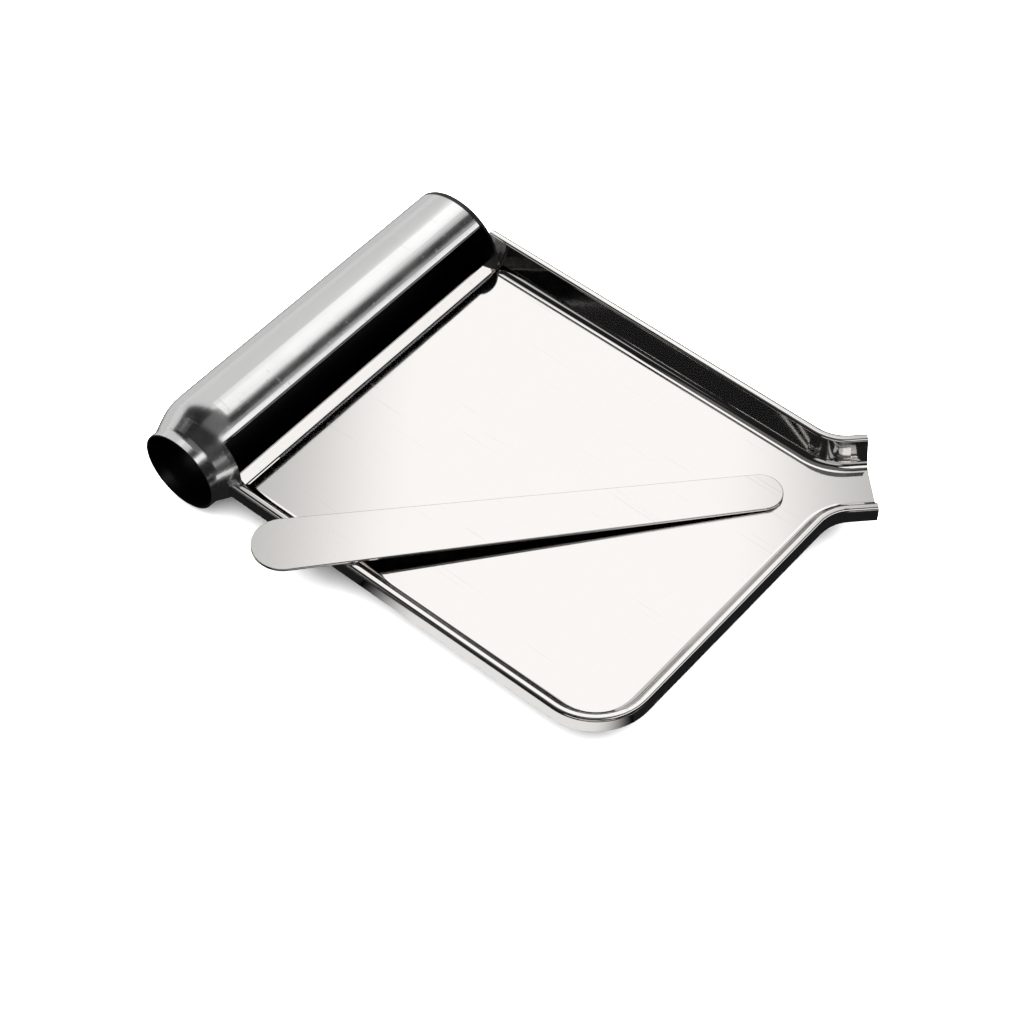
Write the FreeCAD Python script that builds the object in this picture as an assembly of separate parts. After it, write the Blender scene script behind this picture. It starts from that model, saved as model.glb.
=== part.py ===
import FreeCAD, Part
import math
import os
from FreeCAD import Vector

# Pill counting tray: a pressed stainless pan with a pouring spout at one corner, a slotted tube along its
# left edge that collects the counted tablets, and a loose spatula that lies across the pan.
# Millimetres. While the pieces are made, x runs right from the tube's axis, y runs back from the plane of
# the tube's mouth and z runs up from the table. At the end the origin moves under the middle of it all.

SHEET = 0.8

# Tube: a swaged neck in front, then a plain cylinder. The neck's bends are a tight one by the mouth and a
# wide one at the shoulder.
TUBE_R = 22.5
TUBE_LENGTH = 164.6
MOUTH_R = 17.7
MOUTH_LAND = 4.0
NECK_LENGTH = 15.5
NECK_BENDS = [5.72, 27.0]
AXIS_Z = TUBE_R

# Cap that closes the tube's rear end
CAP_THICKNESS = 1.4
CAP_EDGE_R = 0.6
CAP_RECESS_R = 17.0
CAP_RECESS_DEPTH = 0.6

# Slot in the tube's right side, between two angles above the horizontal
SLOT_TOP_DEG = 52.0
SLOT_BOTTOM_DEG = -11.0
SLOT_START = 12.5
SLOT_HEM_R = 0.9

# Pan: floor, a low wall in front and on the right, a taller one behind, and a rim that turns out and down
FLOOR_Z = 19.2
FRONT_DEPTH = 4.3
REAR_DEPTH = 11.5
DRAFT_DEG = 20.0
BASE_BEND_R = 4.0
RIM_BEND_R = 1.4
RIM_WIDTH = 3.4
SKIRT_DEPTH = 7.0
FRONT_Y = 10.8
REAR_Y = 170.2
RIGHT_X = 202.3
FRONT_LEFT_X = 13.0
REAR_LEFT_X = 13.5
CORNER_R = 22.0

# Spout, which points along the diagonal of the rear right corner
SPOUT_DEG = 45.0
SPOUT_BEND_R = 20.0
SPOUT_LOWER_START_Y = 140.7
SPOUT_UPPER_START_X = 178.9
SPOUT_UPPER_REACH = 15.0
SPOUT_TRIM = 14.0

# Ramp at the pan's left edge, over which tablets are pushed into the tube
CREASE_X = 22.4
RAMP_RUN = 4.1
RAMP_RISE = 2.7
RAMP_BEND_R = 2.0
RAMP_BEAD_R = 0.8
RAMP_FOOT = 2.5
RAMP_FRONT_Y = 13.6
RAMP_REAR_Y = TUBE_LENGTH

# Rubber feet under the pan's right side, as tall as the tube hangs below the pan
FOOT_TOP_R = 7.5
FOOT_BASE_R = 6.0
FOOT_EDGE_R = 0.8
FOOT_X = 178.0
FOOT_FRONT_Y = 38.0
FOOT_REAR_Y = 146.0

# Spatula: a flat tapered blade with round ends
BLADE_WIDE_R = 12.4
BLADE_NARROW_R = 8.7
BLADE_CENTRES = 186.0
BLADE_THICKNESS = 1.2
BLADE_EDGE_R = 0.35
BLADE_X = 56.3
BLADE_Y = -1.6
BLADE_TURN_DEG = 49.4
BLADE_GAP = 0.3
RIM_CONTACT_REACH = 24.0

# Weld beads
SEAM_R = 1.2
SEAM_START = 32.0
SEAM_END = 162.0
CORNER_WELD_R = 1.0

RIM_Z = FLOOR_Z + FRONT_DEPTH
UNDER_Z = FLOOR_Z - SHEET
DRAFT = math.radians(DRAFT_DEG)
BASE_BEND_REACH = BASE_BEND_R * math.tan((math.pi / 2 - DRAFT) / 2)
CAP_REAR_Y = TUBE_LENGTH + CAP_THICKNESS

UP = Vector(0, 0, 1)
RIGHT = Vector(1, 0, 0)
BACK = Vector(0, 1, 0)
AXIS_POINT = Vector(0, 0, AXIS_Z)


# Bent lines and sheets

def unit(degrees):
    angle = math.radians(degrees)
    return Vector(math.cos(angle), math.sin(angle), 0)


def left_of(direction):
    return Vector(-direction.y, direction.x, 0)


def offset_points(points, distance):
    """Move an open chain of points to the left of its travel, keeping each run parallel to itself."""
    headings = [(b - a).normalize() for a, b in zip(points, points[1:])]
    moved = [points[0] + left_of(headings[0]) * distance]
    for point, before, after in zip(points[1:], headings, headings[1:]):
        bisector = (left_of(before) + left_of(after)).normalize()
        moved.append(point + bisector * (distance / bisector.dot(left_of(before))))
    moved.append(points[-1] + left_of(headings[-1]) * distance)
    return moved


def offset_radii(points, radii, distance):
    """Bend radii for offset_points: a bend to the left gets tighter, a bend to the right gets wider."""
    changed = []
    for before, point, after, radius in zip(points, points[1:], points[2:], radii):
        turn = (point - before).cross(after - point).z
        changed.append(radius - distance if turn > 0 else radius + distance)
    return changed


def bent_edges(points, radii):
    """Straight runs between the points, joined by tangent arcs of the given radii."""
    edges = []
    start = points[0]
    for before, point, after, radius in zip(points, points[1:], points[2:], radii):
        incoming = (point - before).normalize()
        outgoing = (after - point).normalize()
        turn = incoming.getAngle(outgoing)
        reach = radius * math.tan(turn / 2)
        first = point - incoming * reach
        last = point + outgoing * reach
        inward = (outgoing - incoming).normalize()
        middle = point + inward * (radius / math.cos(turn / 2) - radius)
        edges.append(Part.LineSegment(start, first).toShape())
        edges.append(Part.Arc(first, middle, last).toShape())
        start = last
    edges.append(Part.LineSegment(start, points[-1]).toShape())
    return edges


def sheet_section(points, radii):
    """Closed outline of a bent sheet whose visible face follows the points, with the metal on their right."""
    back_points = offset_points(points, -SHEET)
    back_radii = offset_radii(points, radii, -SHEET)
    edges = bent_edges(points, radii)
    edges.append(Part.LineSegment(points[-1], back_points[-1]).toShape())
    edges += bent_edges(back_points, back_radii)
    edges.append(Part.LineSegment(back_points[0], points[0]).toShape())
    return Part.Wire(Part.sortEdges(edges)[0])


def stand_up(shape, across, origin):
    """Turn a flat outline upright: its x runs along across, its y runs up."""
    depth = across.cross(UP)
    matrix = FreeCAD.Matrix(
        across.x, UP.x, depth.x, origin.x,
        across.y, UP.y, depth.y, origin.y,
        across.z, UP.z, depth.z, origin.z,
        0, 0, 0, 1,
    )
    upright = shape.copy()
    upright.Placement = FreeCAD.Placement(matrix)
    return upright


# Pan

def wall_lean(depth):
    return depth * math.tan(DRAFT)


def floor_inset(depth):
    """Distance from the rim's inner corner in to where the floor is flat."""
    return wall_lean(depth) + BASE_BEND_REACH


def wall_section(depth):
    """Wall from the floor's edge over the rim to the skirt: x is outward from the rim, y is height."""
    rim_z = FLOOR_Z + depth
    points = [
        Vector(-floor_inset(depth) - SHEET, FLOOR_Z, 0),
        Vector(-wall_lean(depth), FLOOR_Z, 0),
        Vector(0, rim_z, 0),
        Vector(RIM_WIDTH, rim_z, 0),
        Vector(RIM_WIDTH, rim_z - SKIRT_DEPTH, 0),
    ]
    return sheet_section(points, [BASE_BEND_R, RIM_BEND_R, RIM_BEND_R])


def spout_corners():
    """Where the right side and the rear side turn out into the spout."""
    lower_reach = SPOUT_BEND_R * math.tan(math.radians(90 - SPOUT_DEG) / 2)
    upper_reach = SPOUT_BEND_R * math.tan(math.radians(SPOUT_DEG) / 2)
    lower = Vector(RIGHT_X, SPOUT_LOWER_START_Y + lower_reach, 0)
    upper = Vector(SPOUT_UPPER_START_X + upper_reach, REAR_Y, 0)
    return lower, upper


def spout_mouth():
    """Middle of the plane in which the spout is cut off."""
    lower, upper = spout_corners()
    return upper + unit(SPOUT_DEG) * SPOUT_UPPER_REACH


def front_right_route(inward):
    """Corner points and bend radii of the front and right sides, ending past the spout's mouth."""
    lower = spout_corners()[0]
    run_out = (spout_mouth() - lower).dot(unit(SPOUT_DEG)) + SPOUT_TRIM
    points = [
        Vector(FRONT_LEFT_X, FRONT_Y, 0),
        Vector(RIGHT_X, FRONT_Y, 0),
        lower,
        lower + unit(SPOUT_DEG) * run_out,
    ]
    radii = [CORNER_R, SPOUT_BEND_R]
    return offset_points(points, inward), offset_radii(points, radii, inward)


def rear_route(inward):
    """Corner points and bend radii of the rear side, from past the spout's mouth to the left end."""
    upper = spout_corners()[1]
    points = [
        upper + unit(SPOUT_DEG) * (SPOUT_UPPER_REACH + SPOUT_TRIM),
        upper,
        Vector(REAR_LEFT_X, REAR_Y, 0),
    ]
    return offset_points(points, inward), offset_radii(points, [SPOUT_BEND_R], inward)


def pan_wall(points, radii, depth):
    """Carry the wall's section along a level route, with the rim on the route's right."""
    heading = (points[1] - points[0]).normalize()
    section = stand_up(wall_section(depth), left_of(heading) * -1, points[0])
    spine = Part.Wire(bent_edges(points, radii))
    spine.translate(UP * FLOOR_Z)
    return spine.makePipeShell([section], True, False)


def pan_floor():
    """Flat floor between the base bends, from the crease to past the spout's mouth."""
    front_points, front_radii = front_right_route(floor_inset(FRONT_DEPTH))
    rear_points, rear_radii = rear_route(floor_inset(REAR_DEPTH))
    front_points[0].x = CREASE_X
    rear_points[-1].x = CREASE_X
    edges = bent_edges(front_points, front_radii)
    edges.append(Part.LineSegment(front_points[-1], rear_points[0]).toShape())
    edges += bent_edges(rear_points, rear_radii)
    edges.append(Part.LineSegment(rear_points[-1], front_points[0]).toShape())
    floor = Part.Face(Part.Wire(edges)).extrude(UP * -SHEET)
    floor.translate(UP * FLOOR_Z)
    return floor


def ramp():
    """Strip that rises from the crease into the slot and ends in a rolled bead."""
    crest = Vector(CREASE_X - RAMP_RUN, FLOOR_Z + RAMP_RISE, 0)
    points = [crest, Vector(CREASE_X, FLOOR_Z, 0), Vector(CREASE_X + RAMP_FOOT, FLOOR_Z, 0)]
    section = stand_up(sheet_section(points, [RAMP_BEND_R]), RIGHT, BACK * RAMP_FRONT_Y)
    length = RAMP_REAR_Y - RAMP_FRONT_Y
    strip = Part.Face(section).extrude(BACK * length)
    normal = left_of((points[1] - crest).normalize())
    centre = crest - normal * RAMP_BEAD_R
    bead = Part.makeCylinder(RAMP_BEAD_R, length, Vector(centre.x, RAMP_FRONT_Y, centre.y), BACK)
    return strip.fuse(bead)


def beyond_spout():
    """Block that takes away everything past the spout's mouth."""
    size = 120
    block = Part.makeBox(size, size, size, Vector(0, -size / 2, -size / 2))
    block.rotate(Vector(0, 0, 0), UP, SPOUT_DEG)
    block.translate(spout_mouth())
    return block


def make_pan():
    pan = pan_wall(*front_right_route(0), FRONT_DEPTH)
    pan = pan.fuse(pan_wall(*rear_route(0), REAR_DEPTH))
    pan = pan.fuse(pan_floor())
    pan = pan.cut(beyond_spout())
    pan = pan.cut(tube_envelope())
    return pan.fuse(ramp()).removeSplitter()


# Tube

def tube_outline():
    return [
        Vector(0, MOUTH_R, 0),
        Vector(MOUTH_LAND, MOUTH_R, 0),
        Vector(NECK_LENGTH, TUBE_R, 0),
        Vector(TUBE_LENGTH, TUBE_R, 0),
    ]


def revolve(section):
    """Spin an outline, drawn as distance back against radius, about the tube's axis."""
    upright = stand_up(section, BACK, AXIS_POINT)
    return Part.Face(upright).revolve(AXIS_POINT, BACK, 360)


def tube_envelope():
    """Solid inside the tube's outer surface."""
    outline = tube_outline()
    edges = bent_edges(outline, NECK_BENDS)
    axis_rear = Vector(CAP_REAR_Y, 0, 0)
    rim_rear = Vector(CAP_REAR_Y, TUBE_R, 0)
    edges.append(Part.LineSegment(outline[-1], rim_rear).toShape())
    edges.append(Part.LineSegment(rim_rear, axis_rear).toShape())
    edges.append(Part.LineSegment(axis_rear, Vector(0, 0, 0)).toShape())
    edges.append(Part.LineSegment(Vector(0, 0, 0), outline[0]).toShape())
    return revolve(Part.Wire(edges))


def slot_wedge():
    """Wedge, from the axis outward, that opens the slot."""
    reach = TUBE_R * 3
    angles = [SLOT_BOTTOM_DEG, (SLOT_BOTTOM_DEG + SLOT_TOP_DEG) / 2, SLOT_TOP_DEG]
    corners = [Vector(0, 0, 0)] + [unit(angle) * reach for angle in angles]
    section = stand_up(Part.makePolygon(corners + corners[:1]), RIGHT, AXIS_POINT + BACK * SLOT_START)
    return Part.Face(section).extrude(BACK * TUBE_LENGTH)


def slot_hem():
    """Rolled bead along the slot's upper edge, flush with the tube's outside and following the neck."""
    outline = tube_outline()[1:]
    points = offset_points(outline, -SLOT_HEM_R)
    radii = offset_radii(outline, NECK_BENDS[1:], -SLOT_HEM_R)
    spine = stand_up(Part.Wire(bent_edges(points, radii)), BACK, AXIS_POINT)
    first = spine.OrderedVertexes[0].Point
    ring = Part.Wire(Part.makeCircle(SLOT_HEM_R, first, spine.OrderedEdges[0].tangentAt(0)))
    bead = spine.makePipeShell([ring], True, False)
    ahead_of_slot = Part.makeBox(4 * TUBE_R, SLOT_START, 4 * TUBE_R, Vector(-2 * TUBE_R, 0, 0))
    bead = bead.cut(ahead_of_slot)
    bead.rotate(AXIS_POINT, BACK, 90 - SLOT_TOP_DEG)
    return bead


def make_tube():
    shell = revolve(sheet_section(tube_outline(), NECK_BENDS))
    shell = shell.cut(slot_wedge())
    return shell.fuse(slot_hem())


def make_end_cap():
    cap = Part.makeCylinder(TUBE_R, CAP_THICKNESS, AXIS_POINT + BACK * TUBE_LENGTH, BACK)
    rear_rim = [edge for edge in cap.Edges if edge.CenterOfMass.y > CAP_REAR_Y - SHEET / 2]
    cap = cap.makeFillet(CAP_EDGE_R, [edge for edge in rear_rim if edge.Curve.TypeId == "Part::GeomCircle"])
    recess_start = AXIS_POINT + BACK * (CAP_REAR_Y - CAP_RECESS_DEPTH)
    recess = Part.makeCone(
        CAP_RECESS_R - CAP_RECESS_DEPTH, CAP_RECESS_R, CAP_RECESS_DEPTH, recess_start, BACK
    )
    return cap.cut(recess)


# Joining pieces

def largest_solid(shape):
    return max(shape.Solids, key=lambda solid: solid.Volume)


def make_seam_weld(pan):
    """Bead under the pan, along the line where its underside meets the tube."""
    angle = math.asin((UNDER_Z - AXIS_Z) / TUBE_R)
    start = Vector(TUBE_R * math.cos(angle), SEAM_START, UNDER_Z)
    bead = Part.makeCylinder(SEAM_R, SEAM_END - SEAM_START, start, BACK)
    below = Part.makeBox(TUBE_R, TUBE_LENGTH, TUBE_R, Vector(CREASE_X - SEAM_R, 0, UNDER_Z - TUBE_R))
    return bead.common(below).cut(tube_envelope()).cut(pan)


def make_front_weld(pan):
    """Bead along the edge where the front rim meets the neck."""
    start = Vector(neck_x(FRONT_Y - RIM_WIDTH, RIM_Z), FRONT_Y - RIM_WIDTH, RIM_Z)
    end = Vector(neck_x(FRONT_Y, RIM_Z), FRONT_Y, RIM_Z)
    bead = Part.makeCylinder(CORNER_WELD_R, (end - start).Length, start, end - start)
    return largest_solid(bead.cut(pan).cut(tube_envelope()))


def neck_x(y, z):
    """Distance to the right of the axis at which the neck's cone passes the given depth and height."""
    slope = (TUBE_R - MOUTH_R) / (NECK_LENGTH - MOUTH_LAND)
    radius = MOUTH_R + slope * (y - MOUTH_LAND)
    return math.sqrt(radius ** 2 - (z - AXIS_Z) ** 2)


def make_rear_weld(pan):
    """Bead under the pan, along the line where its rear wall meets the back of the tube's cap."""
    start = Vector(REAR_LEFT_X, CAP_REAR_Y, UNDER_Z)
    end_x = math.sqrt(TUBE_R ** 2 - (AXIS_Z - UNDER_Z) ** 2)
    bead = Part.makeCylinder(CORNER_WELD_R, end_x - REAR_LEFT_X, start, RIGHT)
    behind = Part.makeBox(TUBE_R, TUBE_R, TUBE_R, Vector(REAR_LEFT_X, CAP_REAR_Y, UNDER_Z - TUBE_R / 2))
    return largest_solid(bead.common(behind).cut(pan))


def make_foot(y):
    foot = Part.makeCone(FOOT_BASE_R, FOOT_TOP_R, UNDER_Z, Vector(FOOT_X, y, 0), UP)
    base = [edge for edge in foot.Edges if edge.BoundBox.ZMax < FOOT_EDGE_R]
    return foot.makeFillet(FOOT_EDGE_R, base)


# Spatula

def blade_outline():
    """Two round ends joined by their outer tangents, along x."""
    lean = math.acos((BLADE_WIDE_R - BLADE_NARROW_R) / BLADE_CENTRES)
    side = Vector(math.cos(lean), math.sin(lean), 0)
    mirror = Vector(side.x, -side.y, 0)
    far = Vector(BLADE_CENTRES, 0, 0)
    wide = [side * BLADE_WIDE_R, RIGHT * -BLADE_WIDE_R, mirror * BLADE_WIDE_R]
    narrow = [far + direction * BLADE_NARROW_R for direction in (mirror, RIGHT, side)]
    return Part.Wire([
        Part.Arc(*wide).toShape(),
        Part.LineSegment(wide[-1], narrow[0]).toShape(),
        Part.Arc(*narrow).toShape(),
        Part.LineSegment(narrow[-1], wide[0]).toShape(),
    ])


def make_spatula():
    """Blade that leans from the front rim down to the pan's floor."""
    blade = Part.Face(blade_outline()).extrude(UP * BLADE_THICKNESS)
    flat_edges = [edge for edge in blade.Edges if abs(edge.tangentAt(edge.FirstParameter).z) < 0.5]
    blade = blade.makeFillet(BLADE_EDGE_R, flat_edges)
    tip = BLADE_CENTRES + BLADE_NARROW_R
    tilt = math.degrees(math.atan2(FRONT_DEPTH, tip - RIM_CONTACT_REACH))
    blade.rotate(Vector(tip, 0, 0), BACK, tilt)
    blade.translate(UP * (FLOOR_Z + BLADE_GAP))
    blade.rotate(Vector(0, 0, 0), UP, BLADE_TURN_DEG)
    blade.translate(Vector(BLADE_X, BLADE_Y, 0))
    return blade


def make_pieces():
    pan = make_pan()
    return {
        "pan": pan,
        "tube": make_tube(),
        "end_cap": make_end_cap(),
        "seam_weld": make_seam_weld(pan),
        "front_weld": make_front_weld(pan),
        "rear_weld": make_rear_weld(pan),
        "front_foot": make_foot(FOOT_FRONT_Y),
        "rear_foot": make_foot(FOOT_REAR_Y),
        "spatula": make_spatula(),
    }


def base_centre(pieces):
    """Point on the table under the middle of the whole tray's box."""
    box = Part.makeCompound(list(pieces.values())).optimalBoundingBox(False, False)
    return Vector(box.Center.x, box.Center.y, 0)


def main():
    os.makedirs("parts", exist_ok=True)
    pieces = make_pieces()
    shift = base_centre(pieces) * -1
    for name, shape in pieces.items():
        shape.translate(shift)
        shape.exportStep(f"parts/{name}.step")


main()
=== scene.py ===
import math

import bpy
from mathutils import Matrix, Vector


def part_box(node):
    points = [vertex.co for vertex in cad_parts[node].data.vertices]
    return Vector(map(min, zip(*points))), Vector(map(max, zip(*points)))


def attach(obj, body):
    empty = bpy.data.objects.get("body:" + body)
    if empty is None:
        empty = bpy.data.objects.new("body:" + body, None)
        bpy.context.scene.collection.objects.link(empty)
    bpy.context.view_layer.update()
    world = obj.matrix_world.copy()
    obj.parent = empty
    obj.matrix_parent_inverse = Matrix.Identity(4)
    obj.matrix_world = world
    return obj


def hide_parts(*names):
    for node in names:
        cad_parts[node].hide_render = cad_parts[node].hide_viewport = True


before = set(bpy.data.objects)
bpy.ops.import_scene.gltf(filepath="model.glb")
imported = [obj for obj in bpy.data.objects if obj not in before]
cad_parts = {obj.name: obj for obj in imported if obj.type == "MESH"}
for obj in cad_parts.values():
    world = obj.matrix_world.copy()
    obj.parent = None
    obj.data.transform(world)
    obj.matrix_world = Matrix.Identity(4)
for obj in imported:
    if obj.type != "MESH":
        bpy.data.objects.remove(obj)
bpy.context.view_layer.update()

# A polished steel pill counting tray on a pale floor, seen from the front right and above.
# Metres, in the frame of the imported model: x right, y back along the tube, z up from the table.

TUBE_LOW, TUBE_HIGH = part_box("tube")
CAP_LOW, CAP_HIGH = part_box("end_cap")
AXIS_X = (CAP_LOW.x + CAP_HIGH.x) / 2
AXIS_Z = TUBE_HIGH.z / 2
MOUTH = Vector((AXIS_X, TUBE_LOW.y, AXIS_Z))


class Graph:
    """Short names for building a material's nodes."""

    def __init__(self, name):
        self.material = bpy.data.materials.new(name)
        self.material.use_nodes = True
        self.nodes = self.material.node_tree.nodes
        self.links = self.material.node_tree.links
        self.shader = self.nodes["Principled BSDF"]
        self.place = self.add("ShaderNodeTexCoord").outputs["Object"]

    def add(self, kind, inputs=None, **settings):
        node = self.nodes.new(kind)
        for name, value in settings.items():
            setattr(node, name, value)
        for name, value in (inputs or {}).items():
            self.feed(node, name, value)
        return node

    def feed(self, node, name, value):
        if isinstance(value, bpy.types.NodeSocket):
            self.links.new(value, node.inputs[name])
        else:
            node.inputs[name].default_value = value

    def math(self, operation, *values):
        node = self.add("ShaderNodeMath", operation=operation)
        for index, value in enumerate(values):
            self.feed(node, index, value)
        return node.outputs["Value"]

    def spread(self, value, low, high, to_low, to_high, shape="LINEAR"):
        """Move a value from the range low..high to the range to_low..to_high."""
        ends = {"From Min": low, "From Max": high, "To Min": to_low, "To Max": to_high}
        node = self.add("ShaderNodeMapRange", {"Value": value, **ends}, interpolation_type=shape)
        return node.outputs["Result"]

    def noise(self, scale, stretch=(1, 1, 1), turn=(0, 0, 0), detail=3.0, roughness=0.5):
        """Noise with scale features a metre, drawn out along the axes whose stretch is small."""
        mapping = self.add(
            "ShaderNodeMapping",
            {"Vector": self.place, "Scale": stretch, "Rotation": turn},
        )
        settings = {"Scale": scale, "Detail": detail, "Roughness": roughness}
        node = self.add("ShaderNodeTexNoise", {"Vector": mapping.outputs["Vector"], **settings})
        return node.outputs["Fac"]

    def axis(self, name):
        return self.add("ShaderNodeSeparateXYZ", {"Vector": self.place}).outputs[name]

    def mix(self, factor, first, second):
        """Blend two colours, by the places of a Mix node's colour sockets."""
        node = self.add("ShaderNodeMix", {"Factor": factor}, data_type="RGBA")
        self.feed(node, 6, first)
        self.feed(node, 7, second)
        return node.outputs[2]

    def bump(self, height, strength, depth, normal=None):
        inputs = {"Height": height, "Strength": strength, "Distance": depth}
        if normal is not None:
            inputs["Normal"] = normal
        return self.add("ShaderNodeBump", inputs).outputs["Normal"]


def grey(level, warmth=0.0):
    return (level, level * (1 - warmth / 2), level * (1 - warmth), 1)


# Grain: the finest marks on the steel
GRAIN_RANGE = (0.3, 0.7)
GRAIN_DARKEST = 0.97
GRAIN_ROUGHENS = 0.02
MARK_HEIGHT = 0.00002

# Hairlines: sparse scratches, each set at an angle from x in degrees and with its own fineness
HAIRLINE_SETS = ((28, 700.0), (-61, 520.0))
HAIRLINE_STRETCH = (0.03, 1, 1)
HAIRLINE_PEAKS = (0.68, 0.74)
HAIRLINE_ROUGHENS = 0.08
HAIRLINE_DARKEST = 0.8
HAIRLINE_SHOWS = 0.12
HAIRLINE_DEPTH = 0.08

# Smears, waves and drawn streaks
SMEAR_SCALE = 28.0
SMEAR_RANGE = (0.35, 0.7)
WAVE_SCALE = 22.0
STREAK_SCALE = 330.0
STREAK_STRETCH = (1, 0.008, 1)

# Where the steel is painted near-black for shade, and made rougher
DULL_ROUGHNESS = 0.38
PAINTED_SHADE_LEVEL = 0.06


def scratches(g, angle, scale):
    """Thin hairlines that run at an angle to x: the peaks of noise drawn out thirtyfold."""
    lines = g.noise(scale, HAIRLINE_STRETCH, (0, 0, math.radians(angle)), detail=2.0)
    return g.spread(lines, *HAIRLINE_PEAKS, 0.0, 1.0)


def steel(
    name, level, roughness, grain_stretch=(1, 1, 1), grain_scale=2500.0, grain_depth=0.12,
    warmth=0.01, wave=0.0, streaks=0.0, lean=0.0, painted_shade=None,
):
    """Polished steel with a fine grain, sparse hairlines and smears.

    wave is the height of soft waviness and streaks that of marks drawn along y, both in metres.
    lean is a slope that tilts the reflections towards lower x.
    painted_shade, where given, makes a mask of the surface where shade is painted near-black and the
    steel is made rougher.
    """
    g = Graph(name)
    g.shader.inputs["Metallic"].default_value = 1.0
    grain = g.noise(grain_scale, grain_stretch, detail=2.0)
    smear = g.noise(SMEAR_SCALE, detail=4.0, roughness=0.6)
    hairlines = g.math("MAXIMUM", *[scratches(g, *settings) for settings in HAIRLINE_SETS])
    rough = g.spread(smear, *SMEAR_RANGE, *roughness)
    rough = g.math("ADD", rough, g.math("MULTIPLY", hairlines, HAIRLINE_ROUGHENS))
    rough = g.math("ADD", rough, g.spread(grain, *GRAIN_RANGE, 0.0, GRAIN_ROUGHENS))
    colour = g.mix(grain, grey(level * GRAIN_DARKEST, warmth), grey(level, warmth))
    shows = g.math("MULTIPLY", hairlines, HAIRLINE_SHOWS)
    colour = g.mix(shows, colour, grey(level * HAIRLINE_DARKEST, 0.02))
    # Painted shade: the masked surface gets a near-black colour and a higher roughness.
    if painted_shade:
        mask = painted_shade(g)
        rough = g.spread(mask, 0.0, 1.0, rough, DULL_ROUGHNESS)
        colour = g.mix(mask, colour, grey(PAINTED_SHADE_LEVEL))
    g.feed(g.shader, "Roughness", rough)
    g.feed(g.shader, "Base Color", colour)
    normal = g.bump(grain, grain_depth, MARK_HEIGHT)
    normal = g.bump(hairlines, HAIRLINE_DEPTH, MARK_HEIGHT, normal)
    if wave:
        normal = g.bump(g.noise(WAVE_SCALE, detail=1.0), 1.0, wave, normal)
    if streaks:
        normal = g.bump(g.noise(STREAK_SCALE, STREAK_STRETCH), 1.0, streaks, normal)
    if lean:
        normal = g.bump(g.axis("X"), 1.0, lean, normal)
    g.feed(g.shader, "Normal", normal)
    return g.material


# The tube's sheet and neck, which its material needs to tell inside from outside
SHEET = 0.0008
TUBE_R = AXIS_Z
MOUTH_R = 0.0177
NECK_START = 0.004
NECK_END = 0.0155
INNER_SIDE = 0.0006
# How far the painted shade at the tube's rear rim reaches from the end
SHADE_RIM_WIDTH = 0.0010


def radius_from_axis(g):
    across = g.math("SUBTRACT", g.axis("X"), AXIS_X)
    height = g.math("SUBTRACT", g.axis("Z"), AXIS_Z)
    squares = g.math("ADD", g.math("POWER", across, 2.0), g.math("POWER", height, 2.0))
    return g.math("SQRT", squares)


def tube_painted_shade(g):
    """1 where shade is painted on the tube: its inner surface, its cut edges and a dark band at the
    rear rim beside the cap.
    """
    outer = g.spread(g.axis("Y"), MOUTH.y + NECK_START, MOUTH.y + NECK_END, MOUTH_R, TUBE_R)
    inner_wall = g.math("SUBTRACT", outer, INNER_SIDE)
    hidden = g.math("LESS_THAN", radius_from_axis(g), inner_wall)
    rim = g.math("GREATER_THAN", g.axis("Y"), TUBE_HIGH.y - SHADE_RIM_WIDTH)
    return g.math("MAXIMUM", hidden, rim)


def cap_painted_shade(g):
    """1 on the cap's inner face and round its edge, painted near-black for shade like the tube's rear
    rim.
    """
    edge = g.math("GREATER_THAN", radius_from_axis(g), TUBE_R - SHADE_RIM_WIDTH / 2)
    inner_face = g.math("LESS_THAN", g.axis("Y"), CAP_LOW.y + SHEET / 4)
    return g.math("MAXIMUM", edge, inner_face)


def rubber():
    g = Graph("foot_rubber_look")
    g.shader.inputs["Base Color"].default_value = grey(0.02)
    grain = g.noise(1500.0, detail=4.0)
    g.feed(g.shader, "Roughness", g.spread(grain, *GRAIN_RANGE, 0.6, 0.8))
    g.feed(g.shader, "Normal", g.bump(grain, 0.4, 0.0001))
    return g.material


def assign(node, material):
    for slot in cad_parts[node].material_slots:
        slot.material = material


ALONG_TUBE = (1, 0.02, 1)
assign("pan", steel("pan_steel_look", 0.80, (0.035, 0.075), ALONG_TUBE, warmth=0.05, wave=0.00002))
# The tube's inside, cut edges and rear rim are painted near-black for shade.
assign("tube", steel(
    "tube_steel_look", 0.86, (0.16, 0.23), ALONG_TUBE,
    grain_depth=0.3, streaks=0.00006, painted_shade=tube_painted_shade,
))
# The cap's inner face and edge are painted near-black for shade.
assign("end_cap", steel("cap_steel_look", 0.62, (0.22, 0.34), painted_shade=cap_painted_shade))
assign("spatula", steel(
    "blade_steel_look", 0.80, (0.06, 0.10), (0.3, 0.3, 1), warmth=0.05, lean=0.025,
))
weld_metal = steel("weld_metal_look", 0.55, (0.35, 0.5), grain_scale=900.0)
for weld in ("seam_weld", "front_weld", "rear_weld"):
    assign(weld, weld_metal)
rubber_look = rubber()
for foot in ("front_foot", "rear_foot"):
    assign(foot, rubber_look)


def add_piece(name, mesh_data, material, node):
    """A mesh of our own that stands for a CAD node on the tray."""
    points, faces = mesh_data
    mesh = bpy.data.meshes.new(name)
    mesh.from_pydata(points, [], faces)
    mesh.validate()
    mesh.shade_smooth()
    piece = bpy.data.objects.new(name, mesh)
    bpy.context.scene.collection.objects.link(piece)
    mesh.materials.append(material)
    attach(piece, "tray")
    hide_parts(node)


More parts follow.
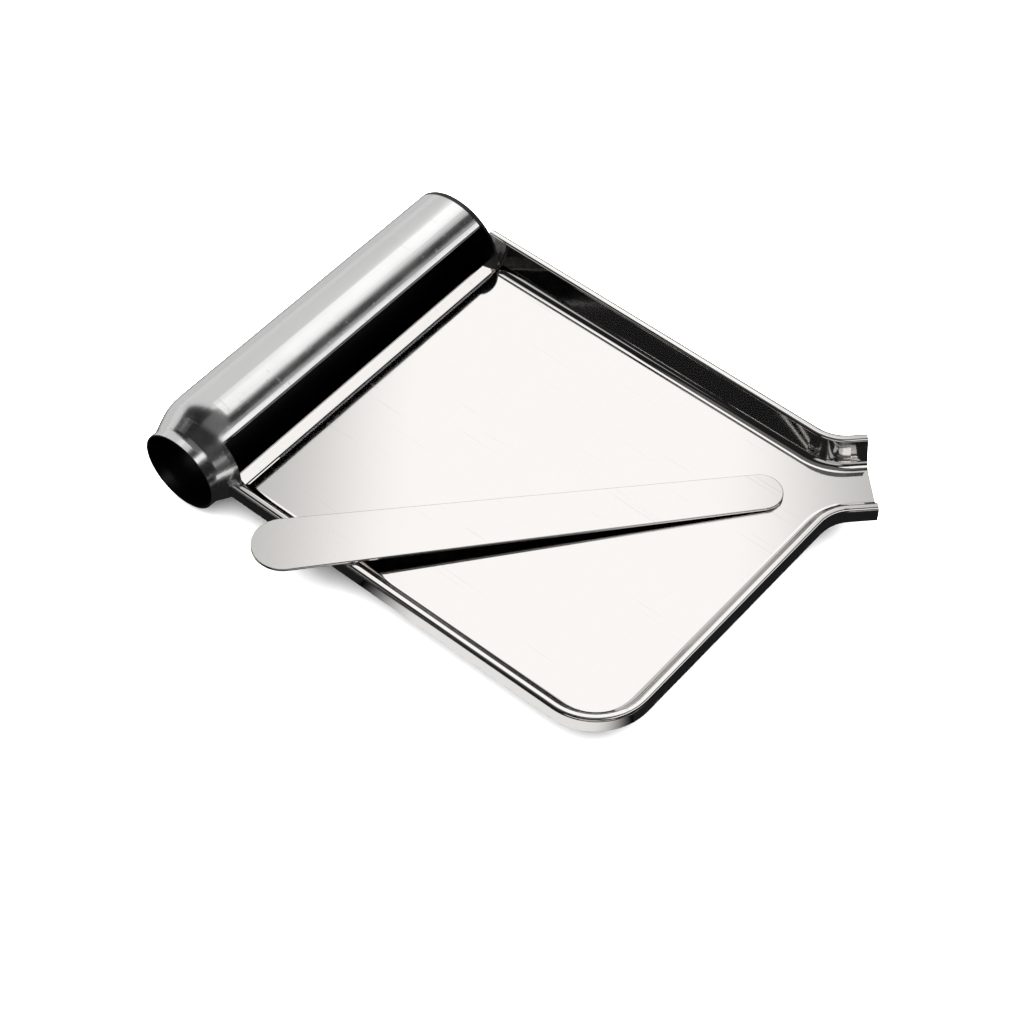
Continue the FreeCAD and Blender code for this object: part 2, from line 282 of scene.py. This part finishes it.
def skin(rings):
    """Closed surface over a row of rings with equal numbers of points, capped at both ends."""
    around = len(rings[0])
    points = [point for ring in rings for point in ring]
    faces = []
    for row in range(len(rings) - 1):
        for index in range(around):
            here = row * around + index
            beside = row * around + (index + 1) % around
            faces.append((here, here + around, beside + around, beside))
    faces.append(tuple(range(around)))
    faces.append(tuple(range(len(points) - 1, len(points) - 1 - around, -1)))
    return points, faces


# A weld's pools: how far apart, how many rings each and points a ring, and their shape
WELD_PITCH = 0.0012
WELD_STEPS = 6
WELD_SIDES = 16
WELD_THINNEST = 0.84
WELD_RISE_RATE = 1.4
WELD_LAG = 0.30
WELD_END_SQUARED = 0.25


def weld_bead(start, end, radius):
    """A row of overlapping solidified pools, each a little crescent, from start to end."""
    run = end - start
    along = run.normalized()
    side = along.cross(Vector((0, 0, 1))).normalized()
    up = side.cross(along)
    steps = max(2, round(run.length / WELD_PITCH)) * WELD_STEPS
    rings = []
    for step in range(steps + 1):
        phase = (step % WELD_STEPS) / WELD_STEPS
        rise = math.sin(math.pi * min(phase * WELD_RISE_RATE, 1.0))
        swell = radius * (WELD_THINNEST + (1 - WELD_THINNEST) * rise)
        near_end = min(step, steps - step) / WELD_STEPS
        swell *= math.sqrt(min(1.0, WELD_END_SQUARED + (1 - WELD_END_SQUARED) * near_end))
        middle = start + run * step / steps
        ring = []
        for index in range(WELD_SIDES):
            angle = math.tau * index / WELD_SIDES
            lag = -WELD_LAG * radius * (1 - abs(math.cos(angle))) if 0 < step < steps else 0.0
            outward = side * math.cos(angle) + up * math.sin(angle)
            ring.append(middle + along * lag + outward * swell)
        rings.append(ring)
    return skin(rings)


def add_bead(name, node, start, end, radius):
    add_piece(name, weld_bead(start, end, radius), weld_metal, node)


# Where each bead lies in its CAD node's box
SEAM_INSET = 0.0007
SEAM_RADIUS = 0.00115
FRONT_START_INSET = 0.0007
FRONT_END_INSET = 0.0005
FRONT_RISE = 0.0006
REAR_INSET = 0.0004
REAR_RISE = 0.0010
END_BEAD_RADIUS = 0.0010

low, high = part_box("seam_weld")
seam_x = low.x + SEAM_INSET
add_bead(
    "seam_bead", "seam_weld",
    Vector((seam_x, low.y, high.z)), Vector((seam_x, high.y, high.z)), SEAM_RADIUS,
)
low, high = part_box("front_weld")
front_z = low.z + FRONT_RISE
add_bead(
    "front_bead", "front_weld",
    Vector((low.x + FRONT_START_INSET, low.y, front_z)),
    Vector((high.x - FRONT_END_INSET, high.y, front_z)), END_BEAD_RADIUS,
)
low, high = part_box("rear_weld")
rear_z = low.z + REAR_RISE
add_bead(
    "rear_bead", "rear_weld",
    Vector((low.x + REAR_INSET, low.y, rear_z)),
    Vector((high.x - REAR_INSET, low.y, rear_z)), END_BEAD_RADIUS,
)

# A foot's outline, from the dimple in its sole up: shares of its top radius, and heights
FOOT_SIDES = 64
FOOT_SOLE = [(0.30, 0.0030), (0.34, 0.0004), (0.37, 0.0), (0.73, 0.0), (0.78, 0.0003), (0.80, 0.0009)]
FOOT_WAIST = 0.80
FOOT_TOP_SHARE = 0.985
FOOT_COLLAR = [(0.0022, FOOT_TOP_SHARE), (0.0018, 1), (0.0002, 1), (0.0, FOOT_TOP_SHARE)]

# Ribs: how many, where the lowest starts, what they leave free, and each one's groove
FOOT_RIBS = 6
FOOT_RIBS_START = 0.0016
FOOT_RIBS_LEAVE = 0.0040
FOOT_RIB_SHAPE = [(0.0, 0.0), (0.12, 0.00035), (0.38, 0.00035), (0.50, 0.0)]


def ribbed_foot(node):
    """A moulded rubber foot: tapered, with ribs round its side and a dimple in its sole."""
    low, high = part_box(node)
    middle = (low + high) / 2
    top = high.x - middle.x
    height = high.z
    pitch = (height - FOOT_RIBS_LEAVE) / FOOT_RIBS
    outline = [(top * share, level) for share, level in FOOT_SOLE]
    for rib in range(FOOT_RIBS):
        for share, depth in FOOT_RIB_SHAPE:
            level = FOOT_RIBS_START + pitch * (rib + share)
            taper = FOOT_WAIST + (1 - FOOT_WAIST) * level / height
            outline.append((top * taper - depth, level))
    outline += [(top * share, height - drop) for drop, share in FOOT_COLLAR]
    rings = []
    for radius, level in outline:
        ring = []
        for index in range(FOOT_SIDES):
            angle = -math.tau * index / FOOT_SIDES
            x = middle.x + radius * math.cos(angle)
            y = middle.y + radius * math.sin(angle)
            ring.append(Vector((x, y, level)))
        rings.append(ring)
    return skin(rings)


for foot in ("front_foot", "rear_foot"):
    add_piece(foot + "_moulding", ribbed_foot(foot), rubber_look, foot)


def flat_sheet(name, width, depth, material):
    """A rectangle of the stage, centred on its own origin and facing up."""
    x, y = width / 2, depth / 2
    mesh = bpy.data.meshes.new(name)
    mesh.from_pydata([(-x, -y, 0), (x, -y, 0), (x, y, 0), (-x, y, 0)], [], [(0, 1, 2, 3)])
    mesh.materials.append(material)
    sheet = bpy.data.objects.new(name, mesh)
    bpy.context.scene.collection.objects.link(sheet)
    return sheet


def glow_panel(name, middle, size, turn, glow):
    """A glowing panel seen only in reflections; glow gives its radiance from the panel's own axes."""
    g = Graph(name + "_glow")
    g.nodes.remove(g.shader)
    light = g.add("ShaderNodeEmission", {"Strength": glow(g, Vector(size) / 2)})
    g.links.new(light.outputs["Emission"], g.nodes["Material Output"].inputs["Surface"])
    panel = flat_sheet(name, *size, g.material)
    panel.location = middle
    panel.rotation_euler = [math.radians(angle) for angle in turn]
    panel.visible_camera = False
    panel.visible_shadow = False
    panel.visible_diffuse = False


def edges_faded(g, half, feather):
    """1 in the middle of a panel, 0 at its edges."""
    fades = []
    for axis, reach in (("X", half.x), ("Y", half.y)):
        distance = g.math("ABSOLUTE", g.axis(axis))
        fades.append(g.spread(distance, reach - feather, reach, 1.0, 0.0, "SMOOTHSTEP"))
    return g.math("MULTIPLY", *fades)


def even_glow(radiance, feather):
    return lambda g, half: g.math("MULTIPLY", edges_faded(g, half, feather), radiance)


# The ceiling behind the tray and the brighter band in it. BAND_SIDEWAYS is the level direction
# across the band. DIMMING and BAND places are measured along it from the frame's origin.
CEILING = (-1.17, 0.75, 0.80)
CEILING_SIZE = (2.50, 1.26)
CEILING_FEATHER = 0.10
CEILING_RADIANCE = 0.68
CEILING_RIGHT_RADIANCE = 0.55
DIMMING_START = 0.20
DIMMING_END = 0.42
BAND_SIDEWAYS = (0.776, 0.630)
BAND_MIDDLE = 0.045
BAND_HALF = 0.245
BAND_FEATHER = 0.13
BAND_RADIANCE = 0.53


def ceiling_glow(g, half):
    """A soft ceiling, dimmer on the right, with a brighter band that runs away from the camera."""
    parts = []
    for axis, offset, share in zip("XY", CEILING, BAND_SIDEWAYS):
        parts.append(g.math("MULTIPLY", g.math("ADD", g.axis(axis), offset), share))
    across = g.math("ADD", *parts)
    off_band = g.math("ABSOLUTE", g.math("SUBTRACT", across, BAND_MIDDLE))
    band = g.spread(off_band, BAND_HALF - BAND_FEATHER, BAND_HALF, BAND_RADIANCE, 0.0, "SMOOTHSTEP")
    base = g.spread(across, DIMMING_START, DIMMING_END, CEILING_RADIANCE, CEILING_RIGHT_RADIANCE)
    return g.math("MULTIPLY", edges_faded(g, half, CEILING_FEATHER), g.math("ADD", band, base))


# The other panels: name, middle, size, turn in degrees, radiance and feather. The low ones lie
# just above the floor and stand in for it. card_ahead, card_above, card_corner and card_beside
# are there for the views from above and behind.
FLAT = (0, 0, 0)
LOW = 0.0005
PANELS = [
    ("strip_right", (0.55, 0.375, 0.8), (0.40, 1.35), FLAT, 1.15, 0.06),
    ("card_left", (-2.4, 0.05, 0.6), (1.2, 4.5), (0, 90, 0), 0.72, 0.05),
    ("card_low", (-1.27, 0.05, LOW), (2.26, 4.5), FLAT, 0.62, 0.05),
    ("card_low_rear", (-0.04, 0.21, LOW), (0.24, 0.20), FLAT, 0.5, 0.04),
    ("card_low_right", (0.26, -0.12, LOW), (0.16, 0.26), FLAT, 0.4, 0.05),
    ("card_front", (0.065, -0.105, LOW), (0.17, 0.10), FLAT, 0.95, 0.03),
    ("card_ahead", (0.48, -1.02, 0.66), (1.15, 0.80), (60, 0, 26), 0.6, 0.22),
    ("card_above", (0.0, -0.02, 0.75), (0.62, 0.52), FLAT, 0.14, 0.06),
    ("card_corner", (0.82, -0.82, 0.31), (1.1, 0.52), (75, 0, 45), 0.5, 0.12),
    ("card_beside", (-0.89, -0.75, 0.80), (1.0, 0.60), (56, 0, -50), 0.6, 0.15),
]

FILL_SIZE = 4.0
FILL_POWER = 420
FILL_HEIGHT = 2.0


def fill_light():
    """A wide light that whitens the floor and is not seen in the steel."""
    data = bpy.data.lights.new("fill", "AREA")
    data.shape = "SQUARE"
    data.size = FILL_SIZE
    data.energy = FILL_POWER
    light = bpy.data.objects.new("fill", data)
    light.location = (0, 0, FILL_HEIGHT)
    light.visible_glossy = False
    light.visible_camera = False
    bpy.context.scene.collection.objects.link(light)


FLOOR_SIZE = 12.0
FLOOR_LEVEL = 0.9
WORLD_COLOUR = (0.014, 0.014, 0.015, 1)


def make_floor():
    """A pale matt floor that the steel does not mirror."""
    g = Graph("floor_look")
    g.shader.inputs["Base Color"].default_value = grey(FLOOR_LEVEL)
    g.shader.inputs["Roughness"].default_value = 0.9
    g.shader.inputs["Specular IOR Level"].default_value = 0.1
    floor = flat_sheet("floor", FLOOR_SIZE, FLOOR_SIZE, g.material)
    floor.visible_glossy = False


def make_world():
    world = bpy.data.worlds.new("studio")
    world.use_nodes = True
    world.node_tree.nodes["Background"].inputs["Color"].default_value = WORLD_COLOUR
    bpy.context.scene.world = world


# Camera, placed from the middle of the tube's mouth
CAMERA_AZIMUTH = math.radians(39.079)
CAMERA_ELEVATION = math.radians(51.609)
CAMERA_ROLL = math.radians(0.989)
CAMERA_RIGHT = 0.129017
CAMERA_UP = -0.015535
CAMERA_BACK = 1.062722
CAMERA_LENS = 96.307
CAMERA_SENSOR = 36


def make_camera():
    right = Vector((math.cos(CAMERA_AZIMUTH), math.sin(CAMERA_AZIMUTH), 0))
    level = math.cos(CAMERA_ELEVATION)
    back = Vector((
        math.sin(CAMERA_AZIMUTH) * level,
        -math.cos(CAMERA_AZIMUTH) * level,
        math.sin(CAMERA_ELEVATION),
    ))
    up = back.cross(right)
    rolled_right = right * math.cos(CAMERA_ROLL) + up * math.sin(CAMERA_ROLL)
    rolled_up = up * math.cos(CAMERA_ROLL) - right * math.sin(CAMERA_ROLL)
    place = MOUTH + rolled_right * CAMERA_RIGHT + rolled_up * CAMERA_UP + back * CAMERA_BACK
    data = bpy.data.cameras.new("camera")
    data.lens = CAMERA_LENS
    data.sensor_width = CAMERA_SENSOR
    camera = bpy.data.objects.new("camera", data)
    turn = Matrix((rolled_right, rolled_up, back)).transposed().to_4x4()
    camera.matrix_world = Matrix.Translation(place) @ turn
    bpy.context.scene.collection.objects.link(camera)
    bpy.context.scene.camera = camera


glow_panel("ceiling", CEILING, CEILING_SIZE, FLAT, ceiling_glow)
for name, middle, size, turn, radiance, feather in PANELS:
    glow_panel(name, middle, size, turn, even_glow(radiance, feather))
fill_light()
make_floor()
make_world()
make_camera()
bpy.context.scene.view_settings.view_transform = "Standard"
